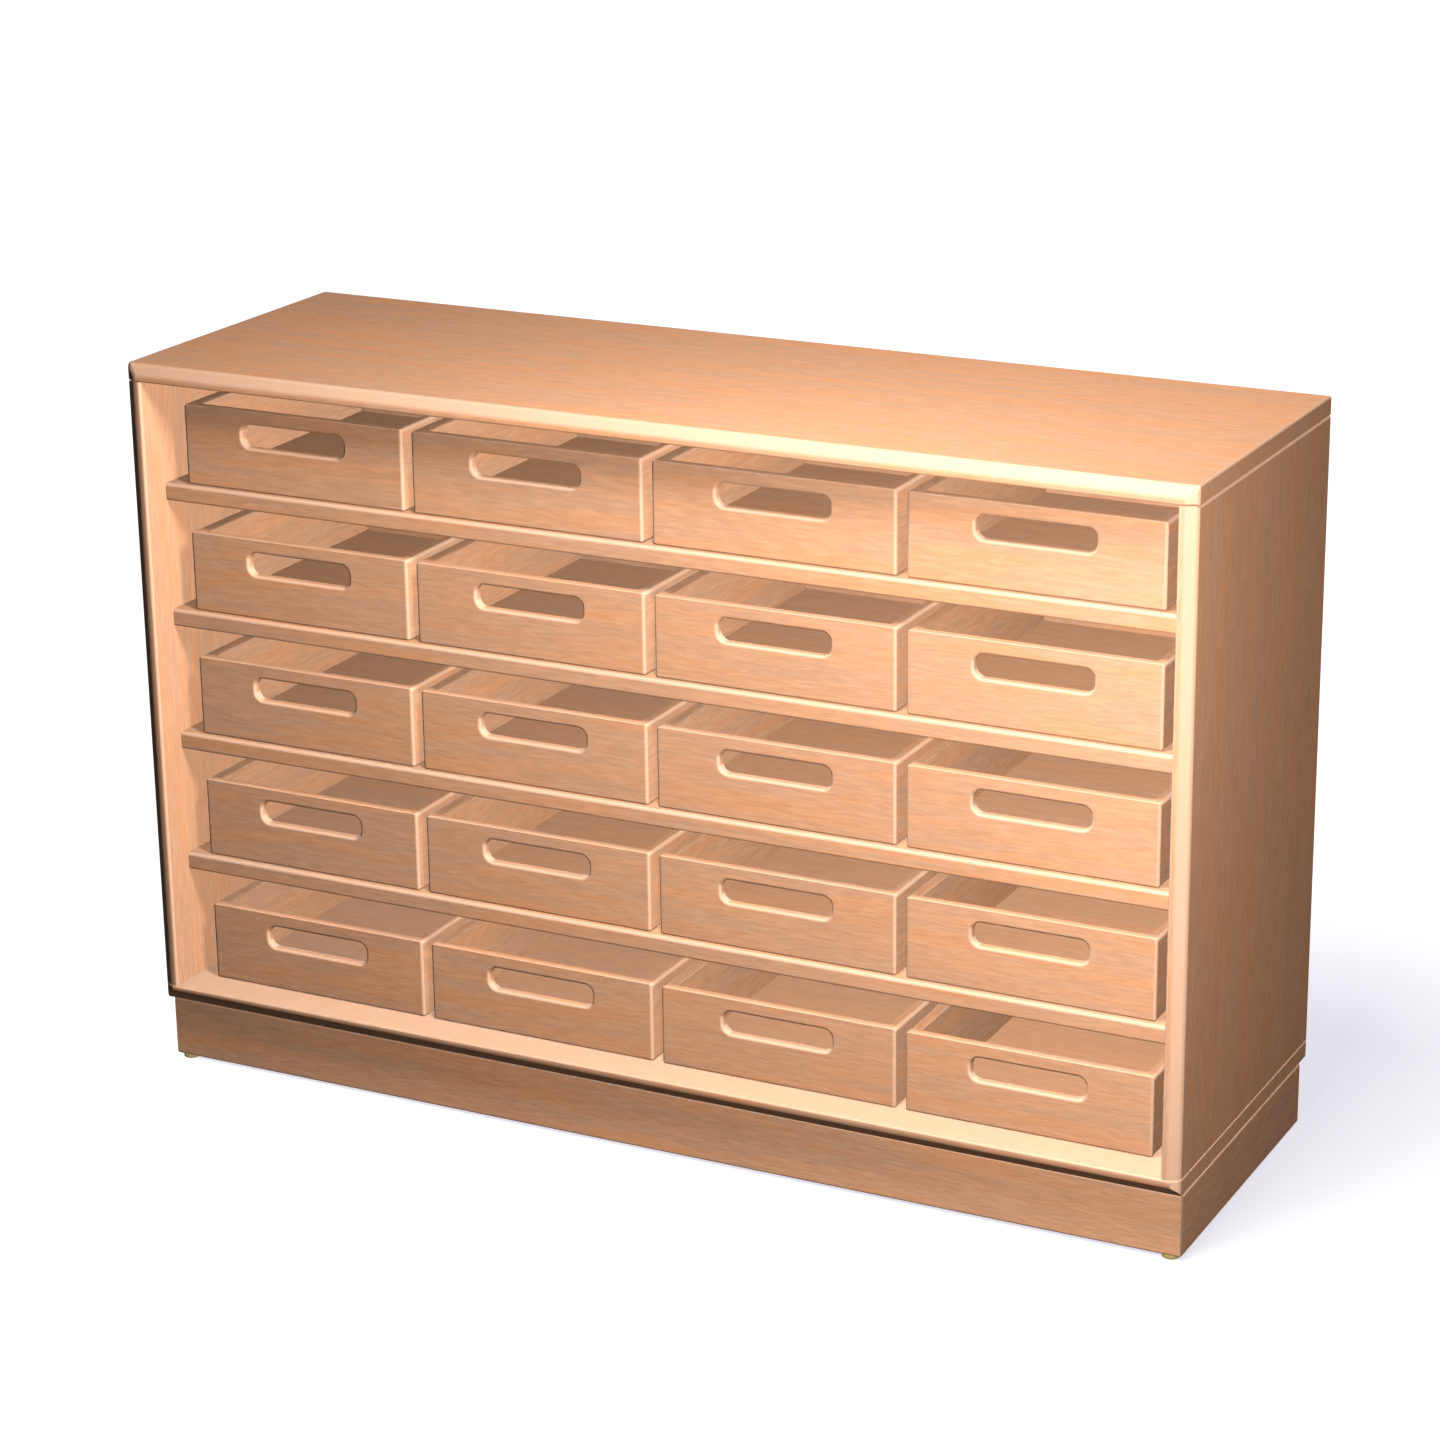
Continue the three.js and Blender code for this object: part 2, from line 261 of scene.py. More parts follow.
@dataclass(frozen=True)
class Figure:
    """A pattern in the wood: the usual length and width of its marks, and where they set in."""

    length: float
    width: float
    low: float
    high: float
    detail: float = 2.0
    shift: float = 0.0

    def mask(self, bench: Bench, place: Wire) -> Wire:
        """Make the pattern's mask.

        Args:
            bench: the material's bench.
            place: where a point lies along, across and through its board.

        Returns:
            The mask, 0 between the marks and 1 on them.
        """
        stretch = (1 / self.length, 1 / self.width, 1 / self.width)
        where = place * stretch + self.shift
        inputs = {"Vector": where, "Scale": 1.0, "Detail": self.detail}
        return bench.ease(bench.node("ShaderNodeTexNoise", {}, inputs), self.low, self.high)


@dataclass(frozen=True)
class Wood:
    """Clear-lacquered wood with bands along the grain, streaks and fine flecks, and a painted highlight on
    its slanted edges.
    """

    name: str
    ground: Colour
    orange: Colour
    grey: Colour
    dark: Colour
    light: Colour
    # The pale colour of the painted highlight on slanted edges
    edge_highlight: Colour
    orange_bands: Figure = Figure(0.24, 0.020, 0.42, 0.62)
    grey_bands: Figure = Figure(0.20, 0.017, 0.44, 0.64, shift=17.0)
    streaks: Figure = Figure(0.10, 0.0080, 0.46, 0.68, shift=31.0)
    flecks: Figure = Figure(0.022, 0.0026, 0.44, 0.66, detail=3.0, shift=43.0)
    glints: Figure = Figure(0.030, 0.0036, 0.44, 0.66, shift=59.0)
    streak_share: float = 0.14
    fleck_share: float = 0.24
    glint_share: float = 0.5
    # How much of the painted edge highlight is laid on
    edge_highlight_share: float = 0.8
    roughness: float = 0.62
    roughness_spread: float = 0.06
    shine: float = 0.02
    pore_depth: float = 0.06 * MM

    def material(self) -> bpy.types.Material:
        """Make the material.

        Returns:
            The material.
        """
        material = bpy.data.materials.new(self.name)
        bench = Bench.of(material)
        place = bench.node("ShaderNodeAttribute", {"attribute_name": GRAIN}, output="Vector")
        bands = self.orange_bands.mask(bench, place)
        streaks = self.streaks.mask(bench, place)
        flecks = self.flecks.mask(bench, place)
        colour = bench.blend(bands, self.ground, self.orange)
        colour = bench.blend(self.grey_bands.mask(bench, place), colour, self.grey)
        colour = bench.blend(streaks * self.streak_share, colour, self.dark)
        colour = bench.blend(self.glints.mask(bench, place) * self.glint_share, colour, self.light)
        colour = bench.blend(flecks * self.fleck_share, colour, self.dark)
        edges = bench.node("ShaderNodeAttribute", {"attribute_name": EDGE_HIGHLIGHT}, output="Fac")
        # Painted highlight: a paler colour on slanted edges and on the bottom panel's front strip
        colour = bench.blend(edges * self.edge_highlight_share, colour, self.edge_highlight)
        relief = {"Height": 1.0 - flecks, "Distance": self.pore_depth, "Strength": 1.0}
        shader = {
            "Base Color": colour,
            "Roughness": self.roughness + (bands - streaks) * self.roughness_spread,
            "Specular IOR Level": self.shine,
            "Normal": bench.node("ShaderNodeBump", {}, relief),
        }
        surface = bench.node("ShaderNodeBsdfPrincipled", {}, shader)
        bench.node("ShaderNodeOutputMaterial", {}, {"Surface": surface})
        return material


@dataclass(frozen=True)
class Nylon:
    """Moulded nylon, faintly cloudy and finely textured."""

    name: str
    clear: Colour
    cloudy: Colour
    cloud: float = 3 * MM
    texture: float = 0.4 * MM
    texture_depth: float = 0.03 * MM
    roughness: float = 0.5
    roughness_spread: float = 0.2

    def material(self) -> bpy.types.Material:
        """Make the material.

        Returns:
            The material.
        """
        material = bpy.data.materials.new(self.name)
        bench = Bench.of(material)
        place = bench.node("ShaderNodeTexCoord", output="Object")
        clouds = bench.node("ShaderNodeTexNoise", {}, {"Vector": place, "Scale": 1 / self.cloud})
        grains = bench.node("ShaderNodeTexNoise", {}, {"Vector": place, "Scale": 1 / self.texture})
        relief = {"Height": grains, "Distance": self.texture_depth, "Strength": 1.0}
        shader = {
            "Base Color": bench.blend(clouds, self.clear, self.cloudy),
            "Roughness": self.roughness + (grains - NOISE_MIDDLE) * self.roughness_spread,
            "Normal": bench.node("ShaderNodeBump", {}, relief),
        }
        surface = bench.node("ShaderNodeBsdfPrincipled", {}, shader)
        bench.node("ShaderNodeOutputMaterial", {}, {"Surface": surface})
        return material


@dataclass(frozen=True)
class PaleFloor:
    """A matt pale floor that looks white where no shadow falls, and lights the object weakly."""

    name: str
    pale: Colour
    shade: Colour
    unseen: Colour

    def material(self) -> bpy.types.Material:
        """Make the material.

        Returns:
            The material.
        """
        material = bpy.data.materials.new(self.name)
        bench = Bench.of(material)
        matt = bench.node("ShaderNodeBsdfDiffuse", {}, {"Color": (*self.pale, 1.0)})
        glow = bench.node("ShaderNodeEmission", {}, {"Color": (*self.shade, 1.0)})
        seen = bench.node("ShaderNodeAddShader", {}, {0: matt, 1: glow})
        unseen = bench.node("ShaderNodeBsdfDiffuse", {}, {"Color": (*self.unseen, 1.0)})
        both = bench.node("ShaderNodeMixShader", {}, {0: seen_rays(bench), 1: unseen, 2: seen})
        bench.node("ShaderNodeOutputMaterial", {}, {"Surface": both})
        return material


def seen_rays(bench: Bench) -> Wire:
    """Tell the rays on which a surface is seen from those that only light another.

    Args:
        bench: the bench of a material or a world.

    Returns:
        1 on rays from the camera, or from a shiny or clear surface, and 0 on other rays.
    """
    rays = [bench.node("ShaderNodeLightPath", output=name) for name in SEEN_RAYS]
    total = rays[0] + rays[1] + rays[2]
    return bench.node("ShaderNodeMath", {"operation": "MINIMUM"}, {0: total, 1: 1.0})


BEECH = Wood(
    "lacquered_beech",
    ground=(0.73, 0.370, 0.205),
    orange=(0.79, 0.366, 0.178),
    grey=(0.68, 0.368, 0.219),
    dark=(0.52, 0.250, 0.132),
    light=(0.82, 0.435, 0.248),
    # The pale colour of the painted edge highlight
    edge_highlight=(0.84, 0.52, 0.35),
)
BEECH_PLY = Wood(
    "beech_faced_ply",
    ground=(0.73, 0.372, 0.207),
    orange=(0.77, 0.370, 0.190),
    grey=(0.69, 0.370, 0.220),
    dark=(0.54, 0.262, 0.140),
    light=(0.80, 0.430, 0.246),
    # The pale colour of the painted edge highlight
    edge_highlight=(0.82, 0.50, 0.33),
    orange_bands=Figure(0.34, 0.045, 0.45, 0.70),
    grey_bands=Figure(0.30, 0.050, 0.48, 0.72, shift=17.0),
)
GLIDE_NYLON = Nylon("olive_nylon", clear=(0.44, 0.32, 0.10), cloudy=(0.50, 0.37, 0.14))
FLOOR_FINISH = PaleFloor(
    "pale_floor",
    pale=(0.82, 0.82, 0.80),
    shade=(0.75, 0.73, 0.80),
    unseen=(0.05, 0.05, 0.05),
)


# Meshes


EdgeRadius = Callable[[bmesh.types.BMEdge], float]
# Places nearer than this are one place
TOUCH = 0.01 * MM
# Corners nearer than this share a vertex
WELD = 0.001 * MM
# Edges that bend by fewer radians are smooth without being rounded
GENTLE_BEND = 0.5
# Edges of a glide that bend by more radians are rounded
SHARP_BEND = 1.0
# Normals that lie this far off the axes get the full painted edge highlight
HIGHLIGHT_SLANT = 0.05
# Faces whose normal has a lower Z look down, and get no painted highlight
UNDERSIDE = -0.2
# Faces whose normal has a higher Z look straight up
UPPERSIDE = 0.99


class Shell:
    """A closed shell of flat faces, some of whose edges are rounded."""

    def __init__(self, name: str) -> None:
        """Start an empty shell.

        Args:
            name: the mesh's name.
        """
        self.name = name
        self.mesh = bmesh.new()
        self.corners: dict[tuple[int, ...], bmesh.types.BMVert] = {}

    def face(self, points: list[Point]) -> None:
        """Add a flat face, which shares its corners with the others and counts each of them once."""
        self.mesh.faces.new(list(dict.fromkeys(self._corner(point) for point in points)))

    def walls(self, rings: list[list[Point]]) -> None:
        """Join rings of as many points, each to the next, by four-sided faces.

        Args:
            rings: the rings, in their order along the walls.
        """
        for low, high in pairwise(rings):
            for i in range(len(low)):
                self.face([low[i - 1], low[i], high[i], high[i - 1]])

    def block(self, rings: list[list[Point]]) -> None:
        """Join rings by walls, and close the first and the last ring.

        Args:
            rings: the rings, from the lowest to the highest.
        """
        self.face(rings[0])
        self.walls(rings)
        self.face(rings[-1])

    def eased(self, radius: EdgeRadius, segments: int = 4) -> bpy.types.Mesh:
        """Round the edges.

        Args:
            radius: gives an edge's radius, or 0 where it stays sharp.
            segments: how many faces go round each edge.

        Returns:
            The finished mesh, with its flat faces shaded flat and its rounded edges smooth.
        """
        bmesh.ops.recalc_face_normals(self.mesh, faces=self.mesh.faces[:])
        widths = [radius(edge) for edge in self.mesh.edges]
        widest = max(widths)
        weight = self.mesh.edges.layers.float.new("bevel_weight_edge")
        for edge, width in zip(self.mesh.edges, widths):
            edge[weight] = width / widest
            edge.smooth = width > 0 or edge.calc_face_angle() < GENTLE_BEND
        for each in self.mesh.faces:
            each.smooth = True
        sharp = bpy.data.meshes.new(self.name)
        self.mesh.to_mesh(sharp)
        self.mesh.free()
        holder = linked(self.name, sharp)
        bevel = holder.modifiers.new("edges", "BEVEL")
        bevel.limit_method = "WEIGHT"
        bevel.width = widest
        bevel.segments = segments
        bevel.harden_normals = True
        bevel.use_clamp_overlap = False
        mesh = settled(holder)
        # Paint the highlight on the slanted edges
        paint_edge_highlight(mesh)
        return mesh

    def _corner(self, point: Point) -> bmesh.types.BMVert:
        """Give the vertex at a point, and make it if there is none.

        Args:
            point: the place.

        Returns:
            The vertex.
        """
        key = tuple(round(value / WELD) for value in point)
        if key not in self.corners:
            self.corners[key] = self.mesh.verts.new(point)
        return self.corners[key]


def linked(name: str, mesh: bpy.types.Mesh) -> bpy.types.Object:
    """Put a mesh into the scene.

    Args:
        name: the object's name.
        mesh: its mesh.

    Returns:
        The object.
    """
    made = bpy.data.objects.new(name, mesh)
    bpy.context.scene.collection.objects.link(made)
    return made


def settled(holder: bpy.types.Object) -> bpy.types.Mesh:
    """Turn an object's modifiers into a plain mesh, and remove the object.

    Args:
        holder: the object.

    Returns:
        The mesh.
    """
    graph = bpy.context.evaluated_depsgraph_get()
    made = holder.evaluated_get(graph)
    mesh = bpy.data.meshes.new_from_object(made, preserve_all_data_layers=True, depsgraph=graph)
    bpy.data.objects.remove(holder)
    return mesh


def signs(edge: bmesh.types.BMEdge) -> tuple[int, int, int]:
    """Say which ways an edge looks, as the rounded sum of the normals of its two faces."""
    both = edge.link_faces[0].normal + edge.link_faces[1].normal
    return tuple(round(value) for value in both)


def on_box(edge: bmesh.types.BMEdge, low: Vector, high: Vector) -> bool:
    """Say whether an edge lies on two faces of a box, which it looks away from.

    Args:
        edge: the edge.
        low: the box's lower corner.
        high: the box's upper corner.

    Returns:
        Whether it does.
    """
    looks = signs(edge)
    if sum(map(abs, looks)) != 2:
        return False
    return all(
        abs(end.co[axis] - (high if looks[axis] > 0 else low)[axis]) < TOUCH
        for end in edge.verts
        for axis in range(3)
        if looks[axis]
    )


def rectangle(low: PlanPoint, high: PlanPoint) -> list[PlanPoint]:
    """Give a rectangle's corners, counter-clockwise from the lowest one."""
    return [low, (high[0], low[1]), high, (low[0], high[1])]


def ring(plan: list[PlanPoint], level: float) -> list[Point]:
    """Set a plan at a level."""
    return [(x, y, level) for x, y in plan]


def boxed(name: str, low: Vector, high: Vector, radius: EdgeRadius) -> bpy.types.Mesh:
    """Make a rectangular board.

    Args:
        name: the mesh's name.
        low: the board's lower corner.
        high: its upper corner.
        radius: gives an edge's radius.

    Returns:
        The board with its edges eased.
    """
    plan = rectangle((low.x, low.y), (high.x, high.y))
    shell = Shell(name)
    shell.block([ring(plan, low.z), ring(plan, high.z)])
    return shell.eased(radius)


def read(
    items: bpy.types.bpy_prop_collection, name: str, width: int = 1, kind: type = float
) -> np.ndarray:
    """Read one property of a mesh's items.

    Args:
        items: the vertices, faces, corners or normals.
        name: the property.
        width: how many numbers it has.
        kind: the type of the numbers.

    Returns:
        The numbers, with a row for each item where the property has more than one.
    """
    values = np.empty(len(items) * width, dtype=kind)
    items.foreach_get(name, values)
    return values if width == 1 else values.reshape(-1, width)


def lay_grain(mesh: bpy.types.Mesh, run: Callable[[np.ndarray], np.ndarray]) -> None:
    """Give every corner of every face its place along, across and through its board.

    Args:
        mesh: the mesh that gets the attribute.
        run: for the middles of the faces, gives which axes lie along, across and through.
    """
    places = read(mesh.vertices, "co", 3)
    middles = read(mesh.polygons, "center", 3)
    totals = read(mesh.polygons, "loop_total", kind=int)
    ends = read(mesh.loops, "vertex_index", kind=int)
    order = np.repeat(run(middles), totals, axis=0)
    laid = np.take_along_axis(places[ends], order, axis=1)
    mesh.attributes.new(GRAIN, "FLOAT_VECTOR", "CORNER").data.foreach_set("vector", laid.ravel())


def paint_edge_highlight(mesh: bpy.types.Mesh) -> None:
    """Give every corner of every face its share of the painted edge highlight: 1 on slants, 0 below.

    Args:
        mesh: the mesh that gets the attribute.
    """
    facings = read(mesh.corner_normals, "vector", 3)
    slants = 1 - np.abs(facings).max(axis=1)
    shares = np.where(facings[:, 2] < UNDERSIDE, 0, np.clip(slants / HIGHLIGHT_SLANT, 0, 1))
    mesh.attributes.new(EDGE_HIGHLIGHT, "FLOAT", "CORNER").data.foreach_set("value", shares)


def one_way(grain: Grain) -> Callable[[np.ndarray], np.ndarray]:
    """Give the run of the grain for a board that has the same on all its faces."""
    return lambda middles: np.tile(grain.value, (len(middles), 1))


class PlacedCopy:
    """A node tree that sets a copy of a pattern in its place, cut from another stretch of wood."""

    INPUTS = {
        "Pattern": "NodeSocketObject",
        "Place": "NodeSocketVector",
        "Seed": "NodeSocketInt",
        "Spread": "NodeSocketFloat",
        "Finish": "NodeSocketMaterial",
    }

    def __init__(self) -> None:
        """Build the tree."""
        self.tree = bpy.data.node_groups.new("placed_copy", "GeometryNodeTree")
        face = self.tree.interface
        face.new_socket(name="Geometry", in_out="OUTPUT", socket_type="NodeSocketGeometry")
        self.keys = {
            name: face.new_socket(name=name, in_out="INPUT", socket_type=kind).identifier
            for name, kind in self.INPUTS.items()
        }
        bench = Bench(self.tree)
        given = {name: bench.node("NodeGroupInput", output=name) for name in self.INPUTS}
        pattern = bench.node("GeometryNodeObjectInfo", {}, {"Object": given["Pattern"]}, "Geometry")
        placed = bench.node(
            "GeometryNodeTransform", {}, {"Geometry": pattern, "Translation": given["Place"]}
        )
        real = bench.node("GeometryNodeRealizeInstances", {}, {"Geometry": placed})
        grain = bench.node(
            "GeometryNodeInputNamedAttribute", {"data_type": "FLOAT_VECTOR"}, {"Name": GRAIN}
        )
        same = bench.node("FunctionNodeInputInt", {"integer": 0})
        draw = {"Max": (1.0, 1.0, 1.0), "ID": same, "Seed": given["Seed"]}
        shift = bench.node("FunctionNodeRandomValue", {"data_type": "FLOAT_VECTOR"}, draw)
        spread = bench.node("ShaderNodeCombineXYZ", {}, {axis: given["Spread"] for axis in "XYZ"})
        laid = bench.node(
            "GeometryNodeStoreNamedAttribute",
            {"data_type": "FLOAT_VECTOR", "domain": "CORNER"},
            {"Geometry": real, "Name": GRAIN, "Value": grain + shift * spread},
        )
        dressed = bench.node(
            "GeometryNodeSetMaterial", {}, {"Geometry": laid, "Material": given["Finish"]}
        )
        bench.node("NodeGroupOutput", {}, {"Geometry": dressed})

    def make(self, name: str, values: dict[str, object]) -> bpy.types.Mesh:
        """Make one copy.

        Args:
            name: the copy's name.
            values: the tree's inputs, by name.

        Returns:
            The copy as a plain mesh.
        """
        holder = linked(name, bpy.data.meshes.new(name))
        modifier = holder.modifiers.new("copy", "NODES")
        modifier.node_group = self.tree
        for key, value in values.items():
            modifier[self.keys[key]] = value
        return settled(holder)


@dataclass
class Workshop:
    """What every sub-assembly is made with: the materials, the copier and the wood to cut from."""

    beech: bpy.types.Material = field(default_factory=BEECH.material)
    ply: bpy.types.Material = field(default_factory=BEECH_PLY.material)
    nylon: bpy.types.Material = field(default_factory=GLIDE_NYLON.material)
    copier: PlacedCopy = field(default_factory=PlacedCopy)
    seeds: Iterator[int] = field(default_factory=partial(count, 1))
    wood_spread: float = 6.0

    def copy(
        self, name: str, pattern: bpy.types.Mesh, finish: bpy.types.Material, place: Point = (0, 0, 0)
    ) -> bpy.types.Object:
        """Cut one piece.

        Args:
            name: the piece's name.
            pattern: its shape.
            finish: its material.
            place: where the pattern's origin goes.

        Returns:
            The piece as an object at the origin, with its place in its mesh.
        """
        model = linked(f"{name}_pattern", pattern)
        values = {
            "Pattern": model,
            "Place": place,
            "Seed": next(self.seeds),
            "Spread": self.wood_spread,
            "Finish": finish,
        }
        mesh = self.copier.make(name, values)
        bpy.data.objects.remove(model)
        mesh.name = name
        return linked(name, mesh)

    def case_board(self, node: str, mesh: bpy.types.Mesh, grain: Grain) -> None:
        """Dress one beech board of the case or the plinth, and hand it in."""
        lay_grain(mesh, one_way(grain))
        hand_in(self.copy(f"{node}_beech", mesh, self.beech), node, CASE_BODY, CASE_SLOT)


def hand_in(piece: bpy.types.Object, node: str, body: str, slot: str) -> None:
    """Let a piece stand for its node of the frame, and ride on its body.

    Args:
        piece: the finished piece.
        node: the node that it replaces.
        body: the body that it rides on.
        slot: not used.
    """
    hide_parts(node)
    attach(piece, body)
    LOG.info("%s: %d faces, on %s", piece.name, len(piece.data.polygons), body)


# The case


@dataclass
class Case:
    """The top, the bottom, the sides, the back and the shelves."""

    workshop: Workshop
    shelves: int = 4
    splay_width: float = 12 * MM
    top_splay: float = 6 * MM
    side_splay: float = 6 * MM
    under_splay: float = 10 * MM
    splay_round: float = 3.5 * MM
    inner_round: float = 3 * MM
    shelf_round: float = 4 * MM
    shoulder: float = 3 * MM
    arris: float = 2.5 * MM
    under_arris: float = 0.5 * MM
    glue_gap: float = 0.2 * MM
    back_lap: float = 9 * MM
    back_arris: float = 0.4 * MM
    # The strength of the painted highlight on the bottom panel's front strip
    front_highlight: float = 0.75
    edge_steps: int = 5
    back_slot: str = "back_ply"

    def build(self) -> None:
        """Make every piece."""
        for cover in Cover:
            self.cover(cover)
        for side in Side:
            self.side(side)
        self.back()
        self.shelf_set()

    def cover(self, cover: Cover) -> None:
        """Make the top or the bottom panel, with its outer front edge splayed and the back's rebate.

        Args:
            cover: which panel.
        """
        node = f"{cover.name.lower()}_panel"
        upper = cover is Cover.TOP
        low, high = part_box(node)
        back_low, back_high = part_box("back_panel")
        left, right, front, rear = low.x, high.x, low.y, high.y
        inner, outer = (low.z, high.z) if upper else (high.z, low.z)
        # The rebate's half length, its front and its floor
        half = back_high.x + self.glue_gap
        mouth = back_low.y - self.glue_gap
        rebate = back_high.z + self.glue_gap if upper else back_low.z - self.glue_gap
        # The splay's edge in front, its edge on the outer face, and where the ends' facets meet it
        splay = self.top_splay if upper else self.under_splay
        crest = outer + cover.value * self.splay_width
        bend, brink = front + self.side_splay, front + splay
        level = crest + (outer - crest) * self.side_splay / splay
        near = [(left + self.splay_width, front), (right - self.splay_width, front)]
        notch = [(half, rear), (half, mouth), (-half, mouth), (-half, rear)]
        plan = [(left, bend), *near, (right, bend), (right, rear), *notch, (left, rear)]
        shell = Shell(node)
        shell.face(ring(plan, inner))
        shell.face(ring(rectangle((left, brink), (right, rear)), outer))
        shell.face(ring(notch, rebate))
        for start, stop in pairwise(notch):
            shell.face([(*start, inner), (*stop, inner), (*stop, rebate), (*start, rebate)])
        rim = [(right, outer), (right, inner), (half, inner), (half, rebate)]
        rim += [(-half, rebate), (-half, inner), (left, inner), (left, outer)]
        shell.face([(x, rear, z) for x, z in rim])
        crests = ring(near, crest)
        shell.face(ring(near, inner) + crests[::-1])
        profile = [(rear, inner), (bend, inner), (bend, level), (brink, outer), (rear, outer)]
        for x, start, stop in zip((left, right), near, crests):
            shell.face([(*start, inner), (x, bend, inner), (x, bend, level), stop])
            shell.face([(x, y, z) for y, z in profile])
        ends = [(right, bend, level), (right, brink, outer), (left, brink, outer), (left, bend, level)]
        shell.face(crests + ends)
        radii = {(side.value, 0, -1): self.under_arris for side in Side}

        def radius(edge: bmesh.types.BMEdge) -> float:
            """Round the front edges, and break the others but the rebate's and the lowest splay's.

            Args:
                edge: an edge of the panel.

            Returns:
                Its radius.
            """
            looks = signs(edge)
            if on_box(edge, low, high):
                return radii.get(looks, self.arris)
            if looks[1] >= 0:
                return 0.0
            if looks[2] == cover.value:
                return self.arris
            in_front = all(abs(vertex.co.y - front) < TOUCH for vertex in edge.verts)
            return self.splay_round if in_front or looks[2] >= 0 else 0.0

        mesh = shell.eased(radius, self.edge_steps)
        # The bottom panel's upper face gets a painted highlight along its front
        if not upper:
            self._paint_front_highlight(mesh, front, rear)
        self.workshop.case_board(node, mesh, Grain.ALONG_X)

    def side(self, side: Side) -> None:
        """Make a side panel, with its outer front edge splayed and the back's rebate in its rear.

        Args:
            side: which panel.
        """
        node = f"{side.name.lower()}_side"
        sign = side.value
        low, high = (corner.copy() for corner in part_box(node))
        low.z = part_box("bottom_panel")[1].z + self.glue_gap
        high.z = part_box("top_panel")[0].z - self.glue_gap
        outer, inner = (high.x, low.x) if side is Side.RIGHT else (low.x, high.x)
        lapped = inner + sign * self.back_lap
        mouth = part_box("back_panel")[0].y - self.glue_gap
        front, rear = low.y, high.y
        crest, brink = (outer - sign * self.splay_width, front), (outer, front + self.side_splay)
        # The outer face is bevelled at the top, and the rest of the outline goes straight up
        slope = outer - sign * self.shoulder
        turn = (slope, front + self.side_splay * (1 - self.shoulder / self.splay_width))
        straight = [(lapped, rear), (lapped, mouth), (inner, mouth), (inner, front), crest]
        plan = [brink, (outer, rear), *straight]
        head = [turn, (slope, rear), *straight]
        shell = Shell(node)
        shell.block([ring(plan, low.z), ring(plan, high.z - self.shoulder), ring(head, high.z)])
        radii = {
            (inner, front): self.inner_round,
            crest: self.splay_round,
            brink: self.splay_round,
            (outer, rear): self.arris,
        }

        def radius(edge: bmesh.types.BMEdge) -> float:
            """Round the upright edges in front, and break the outer one in the rear.

            Args:
                edge: an edge of the panel.

            Returns:
                Its radius.
            """
            foot, top = (vertex.co.xy for vertex in edge.verts)
            if math.dist(foot, top) > TOUCH:
                return 0.0
            return next((radii[place] for place in radii if math.dist(foot, place) < TOUCH), 0.0)

        self.workshop.case_board(node, shell.eased(radius, self.edge_steps), Grain.ALONG_Z)

    def back(self) -> None:
        """Make the back panel."""
        mesh = boxed("back_panel", *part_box("back_panel"), lambda edge: self.back_arris)
        lay_grain(mesh, one_way(Grain.ALONG_X))
        piece = self.workshop.copy("back_panel_ply", mesh, self.workshop.ply)
        hand_in(piece, "back_panel", CASE_BODY, self.back_slot)

    def shelf_set(self) -> None:
        """Make the shelves, which are copies of one."""
        low, high = (corner.copy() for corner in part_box("shelf_1"))
        low.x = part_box("left_side")[1].x + self.glue_gap
        high.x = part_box("right_side")[0].x - self.glue_gap
        top = Vector((0, 0, high.z))

        def radius(edge: bmesh.types.BMEdge) -> float:
            """Round the two front edges.

            Args:
                edge: an edge of the shelf.

            Returns:
                Its radius.
            """
            looks = signs(edge)
            if looks[1] >= 0 or not looks[2]:
                return 0.0
            return self.shelf_round if looks[2] > 0 else self.arris

        mesh = boxed("shelf", low - top, high - top, radius)
        lay_grain(mesh, one_way(Grain.ALONG_X))
        for number in range(1, self.shelves + 1):
            node = f"shelf_{number}"
            place = (0.0, 0.0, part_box(node)[1].z)
            piece = self.workshop.copy(f"{node}_beech", mesh.copy(), self.workshop.beech, place)
            hand_in(piece, node, CASE_BODY, CASE_SLOT)

    def _paint_front_highlight(self, mesh: bpy.types.Mesh, front: float, rear: float) -> None:
        """Paint a highlight on a panel's upper face, fullest in front and fading to the rear.

        Args:
            mesh: the panel's mesh, whose edges already have their painted highlight.
            front: the Y where the painted highlight is fullest.
            rear: the Y where it has gone.
        """
        shares = mesh.attributes[EDGE_HIGHLIGHT].data
        for face in mesh.polygons:
            if face.normal.z < UPPERSIDE:
                continue
            for corner in face.loop_indices:
                place = mesh.vertices[mesh.loops[corner].vertex_index].co
                shares[corner].value = self.front_highlight * (rear - place.y) / (rear - front)


# The plinth


